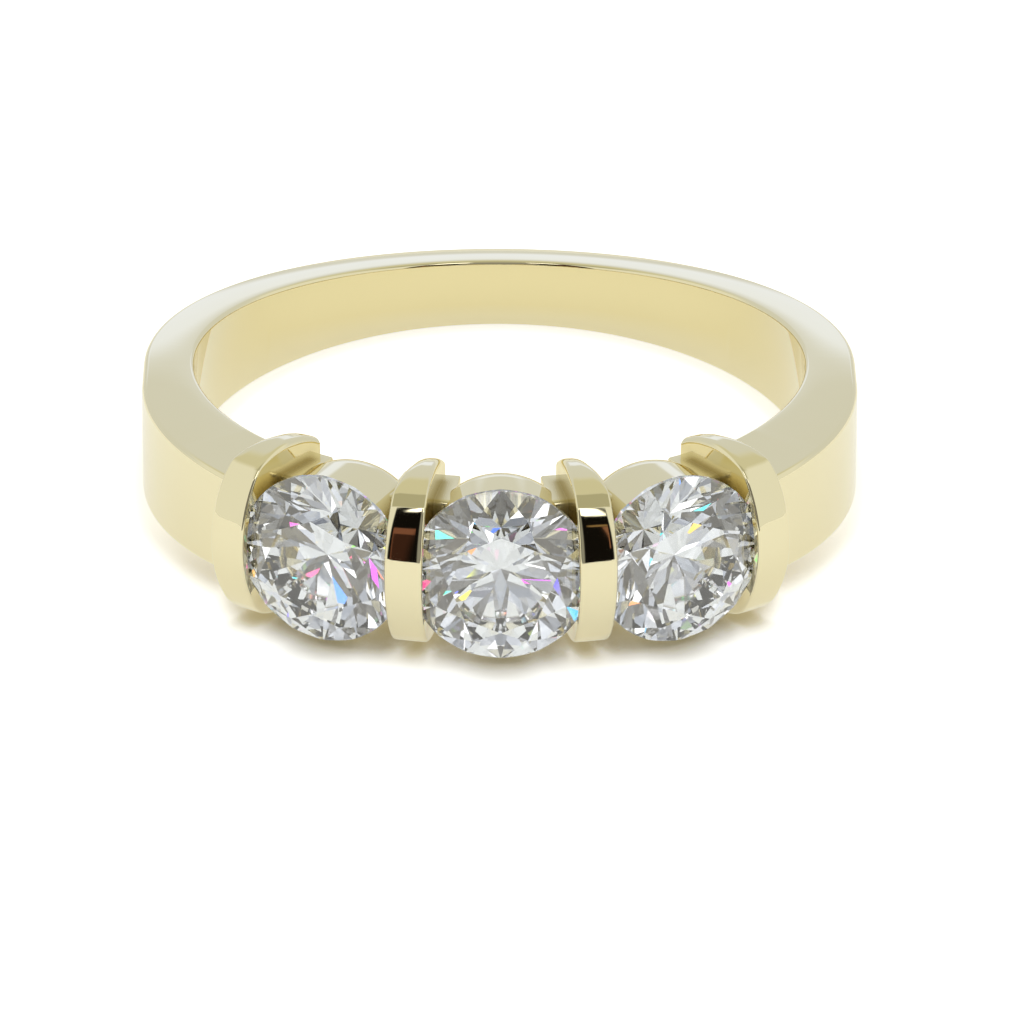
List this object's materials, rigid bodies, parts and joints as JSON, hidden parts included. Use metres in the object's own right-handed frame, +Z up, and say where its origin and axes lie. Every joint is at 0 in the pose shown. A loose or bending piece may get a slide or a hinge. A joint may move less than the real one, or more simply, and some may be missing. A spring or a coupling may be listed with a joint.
{
  "type": "three stone ring",
  "caption": "Yellow gold ring with round brilliants held between upright bars, lying on its side.",
  "frame": {"origin": "middle of the finger hole, halfway along its width", "axes": "+Z up from the surface that the ring lies on, -Y from the finger towards the stones, +X to the right for someone who faces the stones"},
  "size_m": [0.0198, 0.0221, 0.0051],
  "materials": {
    "gold": "polished yellow gold",
    "diamond": "cut and polished, clear"
  },
  "bodies": {
    "root": {"shank_and_setting": "gold", "left_stone": "diamond", "centre_stone": "diamond", "right_stone": "diamond"}
  },
  "joints": []
}
